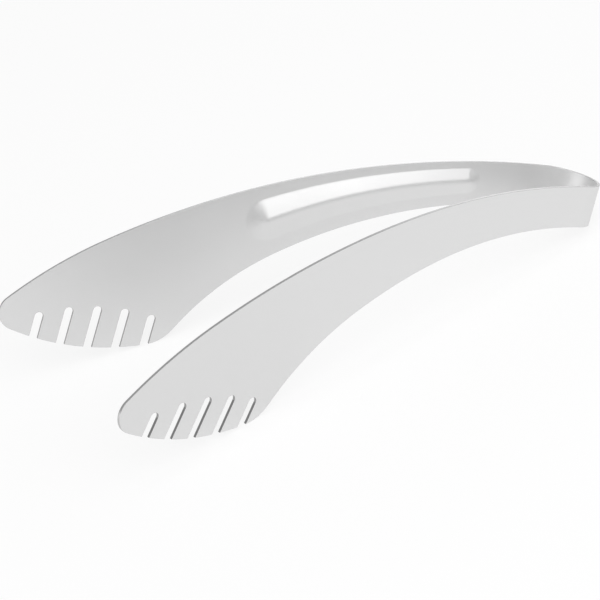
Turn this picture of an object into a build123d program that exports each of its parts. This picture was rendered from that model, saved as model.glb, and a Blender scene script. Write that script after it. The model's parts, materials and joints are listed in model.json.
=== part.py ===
from build123d import *
from math import asin, atan, atan2, cos, degrees, hypot, radians, sin, sqrt, tan
import os

# Serving tongs pressed from one strip of sheet steel, folded into a U. Lengths are in millimetres, angles
# in degrees. The tongs stand on the ground plane, the bow at -X, the blades at +X, symmetric about XZ.

# The steel and the bow
sheet = 1.2                    # thickness of the steel
strip_width = 18.2             # width of the strip where it is bent
bow_radius = 14.6              # of the bend, to the middle of the sheet
bow_turn = 83.1                # bend from the closed end to each hinge line
running_clearance = 0.04       # round the end of each arm in its groove

# The plan of an arm, seen along the folds
flare_turn = 4.15              # the arm goes on opening by this much
flare_length = 88.8            # along the sheet, from the hinge line to the flat blade

# The outline of an arm, flat: +X runs along the blade, +Y along the folds, zero at the hinge's lower end
crown_droop = 1.6              # slope of the upper edge at the hinge
belly_droop = 1.05             # slope of the lower edge at the hinge
handle_reach = 157.1           # from the hinge line to the heel corner
tooth_run = 77.5               # from the heel corner to the nose corner
heel_drop = 81.4               # the heel corner below the bow's lower edge
nose_drop = 80.3               # the nose corner below the bow's lower edge
tooth_radius = 107.8           # of the toothed edge
nose_round = 7.7               # fillet of the nose corner
heel_round = 17.3              # fillet of the heel corner
crown_end_shares = (0.457, 0.615)    # where the upper edge tightens: of tooth_run, of its whole fall
belly_end_shares = (0.755, 0.466)    # where the lower edge tightens: of handle_reach, of heel_drop

# The slots, open at the toothed edge: the same row in both arms, but turned differently
slot_count = 5
slot_width = 3.7
slot_pitch = 11.9
slot_row_share = 0.404         # the middle slot, as a share of tooth_run
slot_pivot = 8.0               # height where the slots turn, over the lowest point of the toothed edge
slot_arc_radius = 91.0         # of the arc that their tops follow
slot_crest_share = 0.285       # the highest point of that arc, as a share of tooth_run
plain_lean = 14.6              # the tops of the plain arm's slots lean to the bow
plain_depth = 17.2             # of the deepest slot, from the lowest point of the toothed edge
ribbed_lean = 2.7              # the same for the ribbed arm
ribbed_depth = 18.7

# The rib, pressed into one arm from outside
rib_start = 37.8               # centre of its round end by the bow, from the hinge line
rib_end = 124.2                # centre of its round end by the blade
rib_width_share = 0.60         # of the handle's width at each place
rib_centre_share = 0.546       # height of its crest across the handle
facet_angle = 18.0             # slope of its two flanks
press_radius = 2.2             # inside the fold at its crest
rib_stations = 7

overrun = 2.0                  # how far cutting shapes run past what they cut

# Worked out: the hinge line, the heading of the blade and the place of its plane
hinge_x = bow_radius * (1 - cos(radians(bow_turn)))
hinge_y = bow_radius * sin(radians(bow_turn))
hinge_heading = 90 - bow_turn
blade_heading = hinge_heading + flare_turn
flare_radius = flare_length / radians(flare_turn)
flare_reach = flare_radius * sin(radians(flare_turn))
flare_rise = flare_radius * (1 - cos(radians(flare_turn)))
blade_x = hinge_x + flare_rise * sin(radians(blade_heading))
blade_y = hinge_y - flare_rise * cos(radians(blade_heading))


def direction(angle):
    """The unit vector at this angle in a sketch."""
    return (cos(radians(angle)), sin(radians(angle)))


# The stamped outline
crown_start = (0, strip_width)
crown_end = (
    handle_reach + crown_end_shares[0] * tooth_run,
    strip_width - crown_end_shares[1] * (strip_width + nose_drop),
)
nose_corner = (handle_reach + tooth_run, -nose_drop)
belly_start = (0, 0)
belly_end = (belly_end_shares[0] * handle_reach, -belly_end_shares[1] * heel_drop)
heel_corner = (handle_reach, -heel_drop)

with BuildSketch() as blank:
    with BuildLine():
        crown = TangentArc(crown_start, crown_end, tangent=direction(-crown_droop))
        TangentArc(crown_end, nose_corner, tangent=crown % 1)
        RadiusArc(nose_corner, heel_corner, tooth_radius)
        belly = TangentArc(belly_start, belly_end, tangent=direction(-belly_droop))
        TangentArc(belly_end, heel_corner, tangent=belly % 1)
        Polyline(belly_start, (-sheet, 0), (-sheet, strip_width), crown_start)
    make_face()
    fillet(blank.vertices().sort_by_distance(nose_corner)[0], nose_round)
    fillet(blank.vertices().sort_by_distance(heel_corner)[0], heel_round)
tooth_low = blank.sketch.bounding_box().min.Y


def slotted(lean, depth):
    """The blank with its row of slots, each turned by the lean, with its round top on the arc."""
    rise = depth - slot_width / 2 - slot_pivot
    shift = tan(radians(lean))
    with BuildSketch() as cut:
        add(blank.sketch)
        for number in range(slot_count):
            from_middle = (number - (slot_count - 1) / 2) * slot_pitch
            slot_x = handle_reach + slot_row_share * tooth_run + from_middle
            from_crest = slot_x - rise * shift - handle_reach - slot_crest_share * tooth_run
            fall = slot_arc_radius - sqrt(slot_arc_radius**2 - from_crest**2)
            with Locations((slot_x - (rise - fall) * shift, tooth_low + slot_pivot + rise - fall)):
                Circle(slot_width / 2, mode=Mode.SUBTRACT)
                Rectangle(slot_width, depth + overrun, lean, (Align.CENTER, Align.MAX), Mode.SUBTRACT)
    return cut.sketch


# The stance: the lower edge of the closed end and both heels touch the ground. Each touching point of a
# heel is where the line from the closed end meets its round, in the blade's outer face.
rounds = blank.edges().filter_by(GeomType.CIRCLE)
heel_centre = rounds.sort_by_distance(heel_corner)[0].arc_center
nose_centre = rounds.sort_by_distance(nose_corner)[0].arc_center
blade_cos = cos(radians(blade_heading))
blade_sin = sin(radians(blade_heading))
closed_end = (-sheet / 2 - (blade_x - sheet / 2 * blade_sin)) / blade_cos
to_heel = Vector(heel_centre.X - closed_end, heel_centre.Y)
rest_slope = atan2(-to_heel.Y, to_heel.X) + asin(heel_round / to_heel.length)
rest_tilt = atan(tan(rest_slope) / blade_cos)

# The origin is on the ground under the middle of the tongs' length
x_low = -sheet / 2 * cos(rest_tilt) - strip_width * sin(rest_tilt)
nose_x = blade_x + sheet / 2 * blade_sin + nose_centre.X * blade_cos
x_high = nose_x * cos(rest_tilt) - nose_centre.Y * sin(rest_tilt)
x_high += nose_round * hypot(blade_cos * cos(rest_tilt), sin(rest_tilt))
fold = Plane(
    origin=(-(x_low + x_high) / 2, 0, sheet / 2 * sin(rest_tilt)),
    x_dir=(cos(rest_tilt), 0, sin(rest_tilt)),
    z_dir=(-sin(rest_tilt), 0, cos(rest_tilt)),
)
blade = Plane(fold.location * Location((blade_x, blade_y, 0), (0, 0, blade_heading)) * Rotation(90, 0, 0))


def face_line(offset):
    """Draw one face of the arm in plan, this far outside the middle of the sheet, and return its ends."""
    across = direction(hinge_heading + 90)
    start = (hinge_x + offset * across[0], hinge_y + offset * across[1])
    bent = JernArc(start, direction(hinge_heading), flare_radius - offset, flare_turn)
    flat = Line(bent @ 1, bent @ 1 + (bent % 1) * (nose_corner[0] - flare_reach + overrun))
    return bent @ 0, flat @ 1


def stamp_arm(lean, depth):
    """An arm on the +Y side: the bent sheet within the stamped outline, its round end on the hinge line."""
    with BuildSketch(fold) as wall:
        with BuildLine():
            outer_start, outer_end = face_line(sheet / 2)
            inner_start, inner_end = face_line(-sheet / 2)
            Line(outer_start, inner_start)
            Line(outer_end, inner_end)
        make_face()
        with Locations((hinge_x, hinge_y)):
            Circle(sheet / 2)
    extrude(wall.sketch, amount=overrun - tooth_low, both=True)
    with BuildSketch(blade) as outline:
        add(slotted(lean, depth))
    extrude(outline.sketch, amount=flare_rise + sheet + overrun, both=True, mode=Mode.INTERSECT)


with BuildPart() as spring_bow:
    with BuildSketch(fold):
        with BuildLine():
            outer = CenterArc((bow_radius, 0), bow_radius + sheet / 2, 180 - bow_turn, 2 * bow_turn)
            inner = CenterArc((bow_radius, 0), bow_radius - sheet / 2, 180 - bow_turn, 2 * bow_turn)
            Line(outer @ 0, inner @ 0)
            Line(outer @ 1, inner @ 1)
        make_face()
        with Locations((hinge_x, hinge_y), (hinge_x, -hinge_y)):
            Circle(sheet / 2 + running_clearance, mode=Mode.SUBTRACT)
    extrude(amount=strip_width)

with BuildPart() as plain_arm:
    stamp_arm(plain_lean, plain_depth)


def edge_height(arc, x):
    """Height and slope of an edge of the outline at x, its arc carried on as a whole circle."""
    along = x - arc.arc_center.X
    rise = sqrt(arc.radius**2 - along**2)
    return arc.arc_center.Y + rise, -along / rise


def rib_station(share):
    """The plane across the rib, +Y inwards from the arm's inner face, and half the rib's width there."""
    x = rib_start + share * (rib_end - rib_start)
    top, top_slope = edge_height(crown, x)
    low, low_slope = edge_height(belly, x)
    slope = atan(low_slope + rib_centre_share * (top_slope - low_slope))
    turn = asin(max(flare_reach - x, 0) / flare_radius)
    sheet_height = sheet / 2 - flare_radius * (1 - cos(turn))
    seat = blade.location * Location((x, low + rib_centre_share * (top - low), sheet_height))
    seat = seat * Rotation(0, degrees(turn), 0) * Rotation(0, 0, degrees(slope))
    half_width = rib_width_share / 2 * (top - low) * cos(slope)
    return Plane(seat * Rotation(0, 90, 0) * Rotation(0, 0, 90)), half_width


def roof(station, base, half_width, crest_round, depth):
    """A rib's section: two flanks with a rounded crest, standing on a block that goes down by the depth."""
    with BuildSketch(station) as section:
        with BuildLine():
            Polyline(
                (-half_width, base - depth),
                (-half_width, base),
                (0, base + half_width * tan(radians(facet_angle))),
                (half_width, base),
                (half_width, base - depth),
                close=True,
            )
        make_face()
        fillet(section.vertices().sort_by(Axis.Y)[-1], crest_round)
    return section.sketch


def press(base, inset, crest_round, depth, mode):
    """Run the roof along the rib and turn half of it round at both ends."""
    stations = [rib_station(number / (rib_stations - 1)) for number in range(rib_stations)]
    loft([roof(plane, base, half - inset, crest_round, depth) for plane, half in stations], mode=mode)
    for plane, half in (stations[0], stations[-1]):
        upright = plane.y_dir if plane is stations[0][0] else -plane.y_dir
        section = roof(plane, base, half - inset, crest_round, depth)
        half_section = split(section, bisect_by=Plane(plane.origin, z_dir=plane.x_dir), mode=Mode.PRIVATE)
        revolve(half_section, axis=Axis(plane.origin, upright), revolution_arc=180, mode=mode)


with BuildPart() as ribbed_arm:
    stamp_arm(ribbed_lean, ribbed_depth)
    press(0, 0, press_radius + sheet, sheet / 2, Mode.ADD)
    foot_inset = sheet * tan(radians(facet_angle / 2))
    press(-sheet, foot_inset, press_radius, overrun, Mode.SUBTRACT)
    mirror(about=Plane.XZ, mode=Mode.REPLACE)

spring_bow.part.label = "spring_bow"
plain_arm.part.label = "plain_arm"
ribbed_arm.part.label = "ribbed_arm"
os.makedirs("parts", exist_ok=True)
export_step(spring_bow.part, "parts/spring_bow.step")
export_step(plain_arm.part, "parts/plain_arm.step")
export_step(ribbed_arm.part, "parts/ribbed_arm.step")
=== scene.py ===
import json
import math
import bpy
import numpy as np
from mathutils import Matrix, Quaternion, Vector


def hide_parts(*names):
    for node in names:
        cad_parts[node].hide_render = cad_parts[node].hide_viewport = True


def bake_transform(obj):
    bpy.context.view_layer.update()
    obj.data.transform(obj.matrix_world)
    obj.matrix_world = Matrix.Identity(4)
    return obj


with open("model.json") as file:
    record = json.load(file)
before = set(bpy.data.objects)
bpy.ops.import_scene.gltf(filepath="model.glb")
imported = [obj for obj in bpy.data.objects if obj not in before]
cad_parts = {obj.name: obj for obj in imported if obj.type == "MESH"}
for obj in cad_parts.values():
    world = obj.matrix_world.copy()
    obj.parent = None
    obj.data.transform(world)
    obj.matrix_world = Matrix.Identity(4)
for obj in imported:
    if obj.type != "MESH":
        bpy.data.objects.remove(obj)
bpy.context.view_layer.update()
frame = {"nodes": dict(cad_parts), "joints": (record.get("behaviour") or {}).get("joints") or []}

# The plain half of the tongs
# Half of one stamped strip of stainless sheet: half of the spring bow and the smooth near arm, which opens
# a little more along its handle and ends in a flat slotted blade. Lengths are in millimetres. The strip
# has no joint: it flexes at the bow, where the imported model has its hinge.
MM = 0.001
sheet = 1.2                    # thickness
edge_round = 0.1               # the tumbled edges
strip_width = 18.2
bow_radius = 14.6              # to the middle of the sheet
bow_turn = 83.1                # degrees from the closed end to the hinge line
flare_turn = 4.15              # degrees that the handle goes on opening
flare_length = 88.8
crown_droop = 1.6              # slope in degrees of the upper edge at the hinge line
belly_droop = 1.05             # slope in degrees of the lower edge there
heel_corner = np.array((157.1, -81.4))
nose_corner = np.array((234.6, -80.3))
tooth_run = nose_corner[0] - heel_corner[0]
crown_end = np.array((192.52, -42.38))
belly_end = np.array((118.61, -37.93))
tooth_radius = 107.8
nose_round = 7.7
heel_round = 17.3
slot_count = 5
slot_width = 3.7
slot_pitch = 11.9
slot_pivot = 8.0               # height where the slots turn, over the lowest point of the toothed edge
slot_arc_radius = 91.0         # of the arc that their tops follow
slot_row = heel_corner[0] + 0.404 * tooth_run      # where the middle slot turns
slot_crest = heel_corner[0] + 0.285 * tooth_run    # the highest point of that arc
arc_detail = 60                # points on each arc of the outline


def heading(degrees):
    """The unit vector at an angle: its cosine and its sine."""
    return np.array((math.cos(math.radians(degrees)), math.sin(math.radians(degrees))))


def arc_to(start, slope, end):
    """Centre, radius and end slope of the clockwise arc that leaves start along slope and reaches end. Its
    radius is the chord's length squared over twice the chord's reach to the right of the slope, and it turns
    by twice the angle from the slope to the chord."""
    chord = end - start
    right = heading(slope - 90)
    radius = chord @ chord / (2 * chord @ right)
    turn = 2 * (math.degrees(math.atan2(chord[1], chord[0])) - slope)
    return start + radius * right, radius, slope + turn


def centre_between(a, radius_a, b, radius_b, sign):
    """The point at radius_a from a and radius_b from b. Along the line from a to b it lies at the line's
    length squared plus radius_a squared less radius_b squared, over twice the length; square to the line it
    lies at the rest of radius_a, to the left where sign is 1."""
    line = b - a
    length = np.hypot(*line)
    along = (length**2 + radius_a**2 - radius_b**2) / (2 * length)
    across = math.sqrt(radius_a**2 - along**2)
    unit = line / length
    return a + along * unit + sign * across * np.array((-unit[1], unit[0]))


def arc_points(centre, radius, first, last):
    """Points of a circle from the direction of first to that of last, both seen from the centre, at equal
    angles: the centre plus the radius times cosine and sine."""
    start = math.atan2(*(first - centre)[::-1])
    sweep = (math.atan2(*(last - centre)[::-1]) - start + math.pi) % (2 * math.pi) - math.pi
    angle = start + sweep * np.linspace(0, 1, arc_detail)
    return centre + radius * np.stack((np.cos(angle), np.sin(angle)), -1)


crown_start = np.array((0.0, strip_width))
belly_start = np.array((0.0, 0.0))
crown_centre, crown_radius, crown_slope = arc_to(crown_start, -crown_droop, crown_end)
brow_centre, brow_radius, _ = arc_to(crown_end, crown_slope, nose_corner)
belly_centre, belly_radius, belly_slope = arc_to(belly_start, -belly_droop, belly_end)
heel_centre, heel_radius, _ = arc_to(belly_end, belly_slope, heel_corner)
tooth_centre = centre_between(heel_corner, tooth_radius, nose_corner, tooth_radius, 1)
nose_centre = centre_between(
    brow_centre, brow_radius - nose_round, tooth_centre, tooth_radius - nose_round, -1
)
heel_round_centre = centre_between(
    heel_centre, heel_radius + heel_round, tooth_centre, tooth_radius - heel_round, -1
)
tooth_low = tooth_centre[1] - tooth_radius


def turned(points, degrees):
    """Points turned about the origin: x times the cosine less y times the sine, and x times the sine plus y
    times the cosine."""
    cos, sin = heading(degrees)
    x, y = points[..., 0], points[..., 1]
    return np.stack((x * cos - y * sin, x * sin + y * cos), -1)


def outline(lean):
    """The upper and the lower edge from the hinge line to the end of the nose that lies furthest out square
    to the lean: by crown, brow and nose, and by belly, heel, teeth and nose. Both are drawn in from the real
    edge by the radius of its rounding."""
    tip = nose_centre + heading(lean)
    upper = (
        (crown_centre, crown_radius - edge_round, crown_start, crown_end),
        (brow_centre, brow_radius - edge_round, crown_end, nose_centre),
        (nose_centre, nose_round - edge_round, 2 * nose_centre - brow_centre, tip),
    )
    lower = (
        (belly_centre, belly_radius + edge_round, belly_start, belly_end),
        (heel_centre, heel_radius + edge_round, belly_end, heel_round_centre),
        (heel_round_centre, heel_round - edge_round, heel_centre, 2 * heel_round_centre - tooth_centre),
        (tooth_centre, tooth_radius - edge_round, heel_round_centre, nose_centre),
        (nose_centre, nose_round - edge_round, 2 * nose_centre - tooth_centre, tip),
    )
    return [np.concatenate([arc_points(*arc) for arc in edge]) for edge in (upper, lower)]


def eased(start, end, count, ends=1.0):
    """Numbers from start to end, closer together at both ends (or, with ends 0.5, at the last alone): the
    projection of equal steps round half a circle."""
    turn = np.linspace(math.pi * (1 - ends), math.pi, count)
    share = -np.cos(turn)
    share = (share - share[0]) / (share[-1] - share[0])
    return start + (end - start) * share


coarse_end = 26.0              # along the handle; up to there the grid's columns may stand further apart
handle_end = 126.0             # where they begin to lean
blade_start = 159.5            # along the lower edge, where they lean like the slots
nose_gap = 0.004               # from the last column to the tip of the nose, where it would be a point
coarse_columns = 30
handle_columns = 199
neck_columns = 42
heel_columns = 4
slot_columns = 12              # over each slot
tine_columns = 10              # between two slots
nose_columns = 40
tooth_rows = 12                # rows up to the tops of the slots
blade_rows = 52                # and on to the upper edge
crest_share = 0.546            # height of a rib's crest as a share of the strip's width there
crowding = 2                   # times as many rows again at that height
crowding_reach = 0.07
crowding_steps = 2000          # in which they are counted out


def arm_grid(lean, depth):
    """The flat arm as a grid of columns, each a line from the lower edge to the upper one: square across the
    handle, and leaning like the slots in the blade, with a column on each side of each slot. A point lies at
    its share of the way from the column's low end to its high one. One row runs over the round tops, so that
    the cells under it are a slot's or not, as the last array says."""
    upper, lower = outline(lean)
    rise = depth - slot_width / 2 - slot_pivot
    shift = math.tan(math.radians(lean))
    slot_x = slot_row + (np.arange(slot_count) - (slot_count - 1) / 2) * slot_pitch
    fall = slot_arc_radius - np.sqrt(slot_arc_radius**2 - (slot_x - rise * shift - slot_crest) ** 2)
    heads = np.stack((slot_x - (rise - fall) * shift, tooth_low + slot_pivot + rise - fall), -1)
    heads = turned(heads, -lean)
    half = slot_width / 2 + edge_round
    sides = (heads[:, 0:1] + (-half, half)).ravel()

    start = turned(np.array((blade_start, np.interp(blade_start, *lower.T))), -lean)[0]
    end = turned(nose_centre, -lean)[0] + nose_round - edge_round - nose_gap
    spans = [np.linspace(start, sides[0], heel_columns, endpoint=False)]
    cut = [np.zeros(heel_columns, bool)]
    for left, right, following in zip(sides[::2], sides[1::2], (*sides[2::2], None)):
        if following is None:
            steel_columns = eased(right, end, nose_columns + 1, 0.5)
        else:
            steel_columns = np.linspace(right, following, tine_columns, endpoint=False)
        spans += [eased(left, right, slot_columns + 1)[:-1], steel_columns]
        cut += [np.ones(slot_columns, bool), np.zeros(len(steel_columns), bool)]
    across, cut = np.concatenate(spans), np.concatenate(cut)

    low = np.stack((across, np.interp(across, *turned(lower, -lean).T)), -1)
    high = np.stack((across, np.interp(across, *turned(upper, -lean).T)), -1)
    from_head = across - heads[np.abs(across[:, None] - heads[:, 0]).argmin(1), 0]
    tops = np.interp(across, sides, np.repeat(heads[:, 1], 2))
    tops = tops + np.where(cut, np.sqrt(np.maximum(half**2 - from_head**2, 0)), 0)
    split = (tops - low[:, 1]) / (high[:, 1] - low[:, 1])
    split[across < sides[0]] = split[np.argmax(cut)]
    split[across > sides[-1]] = split[len(cut) - np.argmax(cut[::-1])]

    handle = np.concatenate((
        np.linspace(0, coarse_end, coarse_columns, endpoint=False),
        np.linspace(coarse_end, handle_end, handle_columns, endpoint=False),
    ))
    neck = np.linspace(0, 1, neck_columns, endpoint=False)
    low, high = turned(low, lean), turned(high, lean)
    low_x = np.concatenate((handle, handle_end + neck * (low[0, 0] - handle_end)))
    high_x = np.concatenate((handle, handle_end + neck * (high[0, 0] - handle_end)))
    low = np.concatenate((np.stack((low_x, np.interp(low_x, *lower.T)), -1), low))
    high = np.concatenate((np.stack((high_x, np.interp(high_x, *upper.T)), -1), high))
    split = np.concatenate((np.full(len(low_x), split[0]), split))
    cut = np.concatenate((np.zeros(len(low_x), bool), cut))

    steps = np.linspace(0, 1, crowding_steps)
    crest = (crest_share - split[0]) / (1 - split[0])
    passed = np.cumsum(1 + crowding * np.exp(-(((steps - crest) / crowding_reach) ** 2)))
    passed = (passed - passed[0]) / (passed[-1] - passed[0])
    over = np.interp(np.linspace(0, 1, blade_rows + 1), passed, steps)
    shares = np.concatenate((
        np.linspace(0, 1, tooth_rows, endpoint=False) * split[:, None],
        split[:, None] + over * (1 - split[:, None]),
    ), 1)
    return low[:, None] + shares[..., None] * (high - low)[:, None], shares[:1], cut


# The bow's columns, at angles from the closed end, closer together there
bow_steps = 64
bow_angle = np.concatenate(((0, 0.1, 0.3, 0.6), np.linspace(1.0, bow_turn, bow_steps, endpoint=False)))

hinge_x = bow_radius * (1 - heading(bow_turn)[0])
hinge_y = bow_radius * heading(bow_turn)[1]
blade_heading = 90 - bow_turn + flare_turn
flare_radius = flare_length / math.radians(flare_turn)
flare_reach = flare_radius * math.sin(math.radians(flare_turn))
flare_rise = flare_radius * (1 - math.cos(math.radians(flare_turn)))
blade_run = heading(blade_heading)
blade_out = heading(blade_heading + 90)
blade_origin = np.array((hinge_x, hinge_y)) - flare_rise * blade_out


def arm_surface(points, height):
    """The middle of the arm's sheet at points of the flat outline. On the blade's plane it is the origin
    plus x along the blade. Before the flare ends it turns by an angle whose sine is what is left of the reach
    over the flare's radius, and stands off outwards by that radius times one less the angle's cosine. Height
    moves it along its inward normal."""
    x = points[..., 0]
    sine = np.clip(flare_reach - x, 0, None) / flare_radius
    cosine = np.sqrt(1 - sine**2)
    inward = -cosine[..., None] * blade_out - sine[..., None] * blade_run
    plan = blade_origin + x[..., None] * blade_run + (flare_radius * (1 - cosine))[..., None] * blade_out
    plan = plan + height[..., None] * inward
    along = np.stack((-inward[..., 1], inward[..., 0]), -1)
    return plan, inward, along


def strip_grid(flat, bow_shares, height_of):
    """Grids of the middle surface of half the strip, its inward unit normals and its lengthways and upright
    coordinates, in the fold's own frame. The bow is a circle of bow_radius, and the arm follows arm_surface,
    raised by height_of. There the normal is the surface's, less the height's slope along the arm times the
    direction along it, less the height's slope upwards times the upright."""
    bow_height = edge_round + bow_shares * (strip_width - 2 * edge_round)
    angle = np.radians(bow_angle)[:, None] + 0 * bow_height
    bow_plan = np.stack((bow_radius * (1 - np.cos(angle)), bow_radius * np.sin(angle)), -1)
    bow_in = np.stack((np.cos(angle), -np.sin(angle)), -1)
    x, z = flat[..., 0], flat[..., 1]
    plan, inward, along = arm_surface(flat, height_of(x, z))
    tiny = 0.01
    slope_x = (height_of(x + tiny, z) - height_of(x - tiny, z)) / (2 * tiny)
    slope_z = (height_of(x, z + tiny) - height_of(x, z - tiny)) / (2 * tiny)
    normal = np.concatenate((inward - slope_x[..., None] * along, -slope_z[..., None]), -1)
    normal /= np.linalg.norm(normal, axis=-1, keepdims=True)
    bow_z = bow_height + 0 * angle
    points = np.concatenate((
        np.concatenate((bow_plan, bow_z[..., None]), -1), np.concatenate((plan, flat[..., 1:]), -1)
    ))
    normals = np.concatenate((np.concatenate((bow_in, 0 * bow_z[..., None]), -1), normal))
    bow_length = bow_radius * angle
    lengthways = np.concatenate((bow_length, bow_radius * math.radians(bow_turn) + flat[..., 0]))
    return points, normals, np.stack((lengthways, points[..., 2]), -1)


# The fold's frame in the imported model: its upright is the hinge's axis, and the hinge's place fixes it
hinge = next(joint for joint in frame["joints"] if joint["child"] == "plain_arm")
fold_up = -np.array(hinge["axis"]) / np.linalg.norm(hinge["axis"])
fold_side = np.array((0.0, 1.0, 0.0))
fold_run = np.cross(fold_side, fold_up)
fold_origin = (
    np.array(hinge["pos_m"]) / MM - hinge_x * fold_run - hinge_y * fold_side - strip_width / 2 * fold_up
)
sharp_angle = math.radians(50)     # between two faces, past which their edge isn't smoothed


def sheet_piece(name, side, lean, depth, height_of):
    """A closed sheet of steel round a middle surface. Its two faces lie half a thickness along the normals,
    and its edge is a rim of two quarter circles and a flat, drawn outwards in the surface. Outwards is the
    edge's direction crossed with the normal, and at a corner the sum of both over one plus their dot
    product."""
    flat, bow_shares, cut = arm_grid(lean, depth)
    points, normals, lengthways = strip_grid(flat, bow_shares, height_of)
    columns, rows = points.shape[:2]
    count = columns * rows
    bow_columns = len(bow_angle)
    solid = np.ones((columns - 1, rows - 1), bool)
    solid[bow_columns:, :tooth_rows] = ~cut[:-1, None]
    ids = np.arange(count).reshape(columns, rows)
    cells = np.stack((ids[:-1, :-1], ids[1:, :-1], ids[1:, 1:], ids[:-1, 1:]), -1)[solid]

    flip = np.array((1, side, 1))
    middle = points.reshape(-1, 3) * flip
    normal = normals.reshape(-1, 3) * flip
    edges = np.stack((cells, np.roll(cells, -1, 1)), -1).reshape(-1, 2)
    lone = ~np.isin(edges[:, 0] * count + edges[:, 1], edges[:, 1] * count + edges[:, 0])
    seam = (edges < rows).all(1)
    rim = edges[lone & ~seam]
    run = middle[rim[:, 1]] - middle[rim[:, 0]]
    outward = side * np.cross(run, normal[rim[:, 0]] + normal[rim[:, 1]])
    outward /= np.linalg.norm(outward, axis=1, keepdims=True)
    leaving, arriving = np.zeros((count, 3)), np.zeros((count, 3))
    leaving[rim[:, 0]] = outward
    arriving[rim[:, 1]] = outward
    one_sided = (leaving == 0).all(1)
    leaving[one_sided] = arriving[one_sided]
    one_sided = (arriving == 0).all(1)
    arriving[one_sided] = leaving[one_sided]
    mitre = (leaving + arriving) / (1 + (leaving * arriving).sum(1, keepdims=True))

    arc_steps = 4
    turn = np.linspace(0, math.pi / 2, arc_steps + 1)
    rim_out = edge_round * np.concatenate((np.sin(turn), np.sin(turn[::-1])))
    rim_up = sheet / 2 - edge_round * (1 - np.cos(turn))
    rim_up = np.concatenate((rim_up, -rim_up[::-1]))
    rim_ids, rim_ends = np.unique(rim, return_inverse=True)
    rim_ends = rim_ends.reshape(-1, 2)
    ring = (
        middle[rim_ids, None] + mitre[rim_ids, None] * rim_out[None, 1:-1, None]
        + normal[rim_ids, None] * rim_up[None, 1:-1, None]
    )
    layers = len(rim_out)
    ring_ids = np.concatenate((
        rim_ids[:, None], 2 * count + np.arange(ring.shape[0] * ring.shape[1]).reshape(ring.shape[:2]),
        rim_ids[:, None] + count,
    ), 1)
    first, second = ring_ids[rim_ends[:, 0]], ring_ids[rim_ends[:, 1]]
    rim_faces = np.stack((second[:, :-1], first[:, :-1], first[:, 1:], second[:, 1:]), -1).reshape(-1, 4)
    # The end that meets the other half, at the closed end of the bow
    seam_low, seam_high = ids[0, :-1], ids[0, 1:]
    seam_faces = np.stack((seam_low, seam_high, seam_high + count, seam_low + count), -1)
    half = np.arange(layers // 2 - 1)
    bottom = ring_ids[np.searchsorted(rim_ids, ids[0, 0])]
    top = ring_ids[np.searchsorted(rim_ids, ids[0, -1])]
    bottom_cap = np.stack((bottom[half], bottom[-1 - half], bottom[-2 - half], bottom[half + 1]), -1)
    top_cap = np.stack((top[half + 1], top[-2 - half], top[-1 - half], top[half]), -1)
    faces = np.concatenate((cells, (cells + count)[:, ::-1], rim_faces, seam_faces, bottom_cap, top_cap))
    if side < 0:
        faces = faces[:, ::-1]

    off = sheet / 2 * normal
    vertices = np.concatenate((middle + off, middle - off, ring.reshape(-1, 3)))
    vertex_uv = lengthways.reshape(-1, 2)
    vertex_uv = np.concatenate((vertex_uv, vertex_uv, np.repeat(vertex_uv[rim_ids], layers - 2, 0)))
    used, faces = np.unique(faces, return_inverse=True)
    faces = faces.reshape(-1, 4)
    vertices = vertices[used]
    ahead, aside, up = vertices[:, :1], vertices[:, 1:2], vertices[:, 2:]
    placed = fold_origin + ahead * fold_run + aside * fold_side + up * fold_up
    mesh = bpy.data.meshes.new(name)
    mesh.from_pydata((placed * MM).tolist(), [], faces.tolist())
    mesh.polygons.foreach_set("use_smooth", np.ones(len(faces), bool))
    metals = (steel, barrel_edge_and_painted_shade, cut_wall_and_painted_shade)
    column, row = np.divmod(rim, rows)
    # The slots' walls get the darker painted shade, the rest of the outer edge the lighter one.
    in_slot = (row <= tooth_rows).all(1) & (row > 0).any(1) & (column < columns - 1).any(1)
    rim_metal = np.where(in_slot, metals.index(cut_wall_and_painted_shade), metals.index(barrel_edge_and_painted_shade))
    metal_of = np.full(len(faces), metals.index(steel), np.int32)
    metal_of[2 * len(cells):2 * len(cells) + len(rim_faces)] = np.repeat(rim_metal, layers - 1)
    mesh.polygons.foreach_set("material_index", metal_of)
    for metal in metals:
        mesh.materials.append(metal)
    mesh.set_sharp_from_angle(angle=sharp_angle)
    uv = mesh.uv_layers.new(name="along the strip")
    uv.data.foreach_set("uv", (vertex_uv[used][faces.ravel()] * MM).astype(np.float32).ravel())
    piece = bpy.data.objects.new(name, mesh)
    bpy.context.scene.collection.objects.link(piece)
    weighted = piece.modifiers.new("flat faces stay flat", "WEIGHTED_NORMAL")
    weighted.keep_sharp = True
    return piece


def hex_colour(code):
    """An sRGB hex colour as linear RGBA: up to 0.04045 a value is divided by 12.92, and past that 0.055 is
    added, the sum divided by 1.055, and raised to the power 2.4."""
    values = np.array([int(code[i:i + 2], 16) for i in (1, 3, 5)]) / 255
    linear = np.where(values <= 0.04045, values / 12.92, ((values + 0.055) / 1.055) ** 2.4)
    return (*linear.tolist(), 1.0)


def add_node(tree, kind, settings=(), inputs=()):
    """Add a node, set its properties, and set or link its inputs, which go by name or by number."""
    node = tree.nodes.new(kind)
    for name, value in dict(settings).items():
        setattr(node, name, value)
    for name, value in dict(inputs).items():
        if isinstance(value, bpy.types.NodeSocket):
            tree.links.new(value, node.inputs[name])
        else:
            node.inputs[name].default_value = value
    return node


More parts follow.
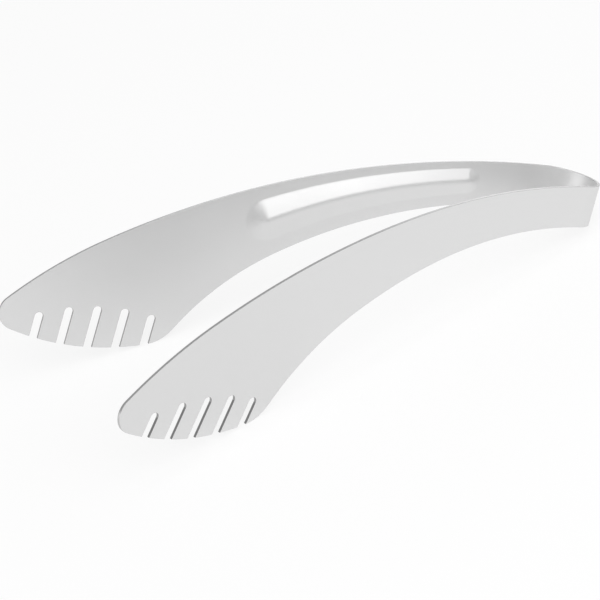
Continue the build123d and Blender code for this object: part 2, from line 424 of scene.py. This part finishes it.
def satin_stainless():
    """Stainless steel, 18/8, rolled, stamped and barrel tumbled to an even satin. Seen close it has fine
    lines along the strip and a faint cloudiness; from a step away it is one soft grey."""
    material = bpy.data.materials.new("satin stainless steel")
    material.use_nodes = True
    tree = material.node_tree
    tree.nodes.clear()
    strip_map = add_node(tree, "ShaderNodeUVMap", {"uv_map": "along the strip"})
    line_pitch = 0.35 * MM         # the real lines are finer and would not show
    line_length = 30 * MM
    lines_at = add_node(
        tree, "ShaderNodeMapping", {},
        {"Vector": strip_map.outputs["UV"], "Scale": (1 / line_length, 1 / line_pitch, 1)},
    )
    lines = add_node(
        tree, "ShaderNodeTexNoise", {"noise_dimensions": "2D"},
        {"Vector": lines_at.outputs["Vector"], "Scale": 1.0, "Detail": 2.0},
    )
    place = add_node(tree, "ShaderNodeTexCoord")
    cloud_size = 22 * MM
    clouds = add_node(
        tree, "ShaderNodeTexNoise", {},
        {"Vector": place.outputs["Object"], "Scale": 1 / cloud_size, "Detail": 2.0},
    )
    mixed = add_node(
        tree, "ShaderNodeMix", {"data_type": "FLOAT"},
        {"Factor": 0.5, "A": lines.outputs["Fac"], "B": clouds.outputs["Fac"]},
    )
    roughness = add_node(
        tree, "ShaderNodeMapRange", {},
        {"Value": mixed.outputs["Result"], "From Min": 0.3, "From Max": 0.7, "To Min": 0.4, "To Max": 0.46},
    )
    bump = add_node(
        tree, "ShaderNodeBump", {},
        {"Height": lines.outputs["Fac"], "Strength": 0.06, "Distance": 0.02 * MM},
    )
    shader = add_node(
        tree, "ShaderNodeBsdfPrincipled", {},
        {"Base Color": hex_colour("#e3e3e3"), "Metallic": 1.0, "Roughness": roughness.outputs["Result"],
         "Normal": bump.outputs["Normal"]},
    )
    add_node(tree, "ShaderNodeOutputMaterial", {}, {"Surface": shader.outputs["BSDF"]})
    return material


def cut_steel_in_painted_shade(name, tone, roughness):
    """The same steel where the press has cut it, in a darker tone that is painted shade on its edge."""
    material = bpy.data.materials.new(name)
    material.use_nodes = True
    shader = material.node_tree.nodes["Principled BSDF"]
    shader.inputs["Base Color"].default_value = hex_colour(tone)
    shader.inputs["Metallic"].default_value = 1.0
    shader.inputs["Roughness"].default_value = roughness
    return material


def smooth(x, z):
    """No rib: the height is nought everywhere."""
    return 0 * x


def flex_span(side):
    """Where the strip flexes as the tongs are squeezed, from inside the bow to the handle's start: the
    hinge line less and plus the reach along the strip."""
    reach = 13.0
    run = heading(90 - bow_turn)
    middle = np.array((hinge_x, side * hinge_y))
    ends = (middle + way * reach * run * (1, side) for way in (-1, 1))
    return [tuple((fold_origin + end[0] * fold_run + end[1] * fold_side) * MM) for end in ends]


steel = satin_stainless()
# The tumbling barrel has smoothed the blank's outer edge. Its tone is partly painted shade: nearly as light
# as the faces, but darker, so that it draws a thin shaded line, which brightens as the edge turns.
barrel_edge_and_painted_shade = cut_steel_in_painted_shade("tumbled stainless edge", "#c0c0c0", 0.38)
# The barrel doesn't reach into the slots, and their cut walls are painted darker still, as the shade inside
# them.
cut_wall_and_painted_shade = cut_steel_in_painted_shade("slot wall cut by the press, painted dark as shade", "#9a9a9a", 0.32)
plain_lean = 14.6              # degrees, the tops of its slots towards the bow
plain_depth = 17.2             # of the deepest slot, from the lowest point of the toothed edge
plain_strip = sheet_piece("plain_strip", 1, plain_lean, plain_depth, smooth)
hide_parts("spring_bow", "plain_arm")
plain_start, plain_end = flex_span(1)
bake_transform(plain_strip)

# The ribbed half of the tongs
# The other half of the same strip: the rest of the spring bow and the far arm. A tapered rib with two flat
# flanks is pressed into its handle from outside, and stands up inside; both its ends are round.
rib_start = 37.8               # along the handle from the hinge line
rib_end = 124.2
rib_width_share = 0.60         # of the handle's width
facet_angle = math.radians(18.0)
crest_radius = 4.6             # to the middle of the sheet
foot_round = 1.2
crest_tries = 6                # steps in which the nearest place on the crest is found
least = 1e-9                   # keeps a root and a quotient finite


def rib_line(x):
    """Height of the rib's crest across the handle, its slope, and half its width square to itself. Each edge
    of the handle is a circle, carried on past its end: its height is the centre's plus the root of the
    radius squared less the run squared. The crest lies at its share between the two."""
    top_run, low_run = x - crown_centre[0], x - belly_centre[0]
    top_rise = np.sqrt(crown_radius**2 - top_run**2)
    low_rise = np.sqrt(belly_radius**2 - low_run**2)
    top, bottom = crown_centre[1] + top_rise, belly_centre[1] + low_rise
    slope = -low_run / low_rise * (1 - crest_share) - top_run / top_rise * crest_share
    turn = np.arctan(slope)
    return bottom + crest_share * (top - bottom), turn, rib_width_share / 2 * (top - bottom) * np.cos(turn)


def rib_height(x, z):
    """Height of the middle of the sheet over the rib. The nearest place on the crest line between its two
    ends is found by stepping along its slope. Away from it across the rib the sheet falls at the facet
    angle, with the crest rounded by one circle and the foot by another. The round noses begin with a crease
    at the ends and reach nothing at a half circle. There the way left to the foot is half the width less the
    root of across squared plus a quarter of past squared, times one less past over the root of half the width
    squared less across squared."""
    near = np.clip(x, rib_start, rib_end)
    for _ in range(crest_tries):
        crest, turn, _ = rib_line(near)
        near = near + ((x - near) * np.cos(turn) + (z - crest) * np.sin(turn)) * np.cos(turn)
        near = np.clip(near, rib_start, rib_end)
    crest, turn, half = rib_line(near)
    past = np.abs((x - near) * np.cos(turn) + (z - crest) * np.sin(turn))
    across = np.abs((z - crest) * np.cos(turn) - (x - near) * np.sin(turn))
    away = np.hypot(past, across)
    half = half - sheet / 2 * math.tan(facet_angle / 2)
    left = np.clip(1 - past / np.sqrt(np.maximum(half**2 - across**2, least)), 0, 1)
    away = np.where(away < half, half - (half - np.hypot(across, past / 2)) * left, away)
    flank = (half - away) * math.tan(facet_angle)
    dome_top = half * math.tan(facet_angle) - crest_radius * (1 / math.cos(facet_angle) - 1)
    dome = dome_top - crest_radius + np.sqrt(np.maximum(crest_radius**2 - away**2, 0))
    height = np.where(away < crest_radius * math.sin(facet_angle), dome, flank)
    foot_end = half + foot_round * math.tan(facet_angle / 2)
    foot = foot_round - np.sqrt(np.maximum(foot_round**2 - (foot_end - away) ** 2, 0))
    height = np.where(away > foot_end - foot_round * math.sin(facet_angle), foot, height)
    return np.where(away > foot_end, 0, height)


ribbed_lean = 2.7
ribbed_depth = 18.7
ribbed_strip = sheet_piece("ribbed_strip", -1, ribbed_lean, ribbed_depth, rib_height)
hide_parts("spring_bow", "ribbed_arm")
ribbed_start, ribbed_end = flex_span(-1)
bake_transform(ribbed_strip)

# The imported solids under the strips
for node in frame["nodes"].values():
    node.data.materials.clear()
    node.data.materials.append(steel)

# The studio
# A pale seamless floor that the tongs stand on, white to the camera, with soft even light from large
# panels. None of it belongs to the tongs.
floor_size = 20000.0           # so far out that the steel doesn't reflect its edge
floor_drop = 0.02
glow_share = 0.76              # of the paper's whiteness
half_floor = floor_size / 2 * MM
floor_corners = ((-1, -1), (1, -1), (1, 1), (-1, 1))
floor_mesh = bpy.data.meshes.new("floor")
floor_mesh.from_pydata(
    [(x * half_floor, y * half_floor, -floor_drop * MM) for x, y in floor_corners], [], [(0, 1, 2, 3)]
)
floor = bpy.data.objects.new("floor", floor_mesh)
bpy.context.scene.collection.objects.link(floor)


def backlit_paper():
    """Matt white paper. Part of its whiteness comes from light behind it, for the camera and for what the
    steel reflects, so that the tongs' shadow on it is faint."""
    material = bpy.data.materials.new("matt white paper, lit from behind")
    material.use_nodes = True
    tree = material.node_tree
    paper = tree.nodes["Principled BSDF"]
    paper.inputs["Base Color"].default_value = hex_colour("#f7f7f7")
    paper.inputs["Roughness"].default_value = 0.9
    glow = add_node(tree, "ShaderNodeEmission", {}, {"Color": (1, 1, 1, 1), "Strength": 1.0})
    path = add_node(tree, "ShaderNodeLightPath")
    seen = add_node(
        tree, "ShaderNodeMath", {"operation": "MAXIMUM"},
        {0: path.outputs["Is Camera Ray"], 1: path.outputs["Is Glossy Ray"]},
    )
    seen_through = add_node(
        tree, "ShaderNodeMath", {"operation": "MAXIMUM"},
        {0: seen.outputs["Value"], 1: path.outputs["Is Transmission Ray"]},
    )
    share = add_node(
        tree, "ShaderNodeMath", {"operation": "MULTIPLY"}, {0: seen_through.outputs["Value"], 1: glow_share}
    )
    mixed = add_node(
        tree, "ShaderNodeMixShader", {},
        {"Fac": share.outputs["Value"], 1: paper.outputs["BSDF"], 2: glow.outputs["Emission"]},
    )
    tree.links.new(mixed.outputs["Shader"], tree.nodes["Material Output"].inputs["Surface"])
    return material


floor_mesh.materials.append(backlit_paper())

world = bpy.data.worlds.new("pale studio")
bpy.context.scene.world = world
world.use_nodes = True
world.node_tree.nodes["Background"].inputs["Color"].default_value = (1, 1, 1, 1)
world.node_tree.nodes["Background"].inputs["Strength"].default_value = 0.5
lamp_distance = 1500


def softbox(name, azimuth, elevation, width, height, brightness):
    """A rectangular lamp that faces the tongs from an azimuth, counted from +X to +Y, and an elevation, in
    degrees. Its power in watts is pi times its area times its brightness, where 1 is as bright as a world
    of strength 1."""
    lamp = bpy.data.lights.new(name, "AREA")
    lamp.shape = "RECTANGLE"
    lamp.size = width * MM
    lamp.size_y = height * MM
    lamp.energy = math.pi * lamp.size * lamp.size_y * brightness
    lamp_object = bpy.data.objects.new(name, lamp)
    bpy.context.scene.collection.objects.link(lamp_object)
    level, rise = heading(elevation)
    towards = Vector((*(level * heading(azimuth)), rise))
    lamp_object.location = lamp_distance * MM * towards
    lamp_object.rotation_mode = "QUATERNION"
    lamp_object.rotation_quaternion = towards.to_track_quat("Z", "Y")
    lamp_object.visible_camera = False


softbox("overhead panel", azimuth=98, elevation=62, width=2100, height=2100, brightness=1.25)
softbox("front panel", azimuth=104, elevation=22, width=1100, height=800, brightness=1.0)
softbox("card behind", azimuth=-124, elevation=12, width=900, height=640, brightness=1.5)
softbox("card beyond the blades", azimuth=0, elevation=8, width=1600, height=480, brightness=1.8)

# The camera
# It looks down across the tongs from the plain arm's side, a little from the blades' end, through a long
# lens, and is rolled, so that the tongs lie sloping in the picture as they do in the photograph.
view_azimuth = 154.267         # degrees from -Y towards +X
view_elevation = 28.475
view_roll = -9.695
view_focus = Vector((19.79, 0, 16.66))
view_distance = 981.4
lens_length = 144.0
camera_data = bpy.data.cameras.new("camera")
camera_data.lens = lens_length
camera = bpy.data.objects.new("camera", camera_data)
bpy.context.scene.collection.objects.link(camera)
azimuth, elevation = math.radians(view_azimuth), math.radians(view_elevation)
back = Vector((
    math.sin(azimuth) * math.cos(elevation), -math.cos(azimuth) * math.cos(elevation), math.sin(elevation)
))
camera.location = (view_focus + view_distance * back) * MM
camera.rotation_mode = "QUATERNION"
roll = Quaternion((0, 0, 1), math.radians(view_roll))
camera.rotation_quaternion = (-back).to_track_quat("-Z", "Y") @ roll
bpy.context.scene.camera = camera
bpy.context.scene.view_settings.view_transform = "Standard"
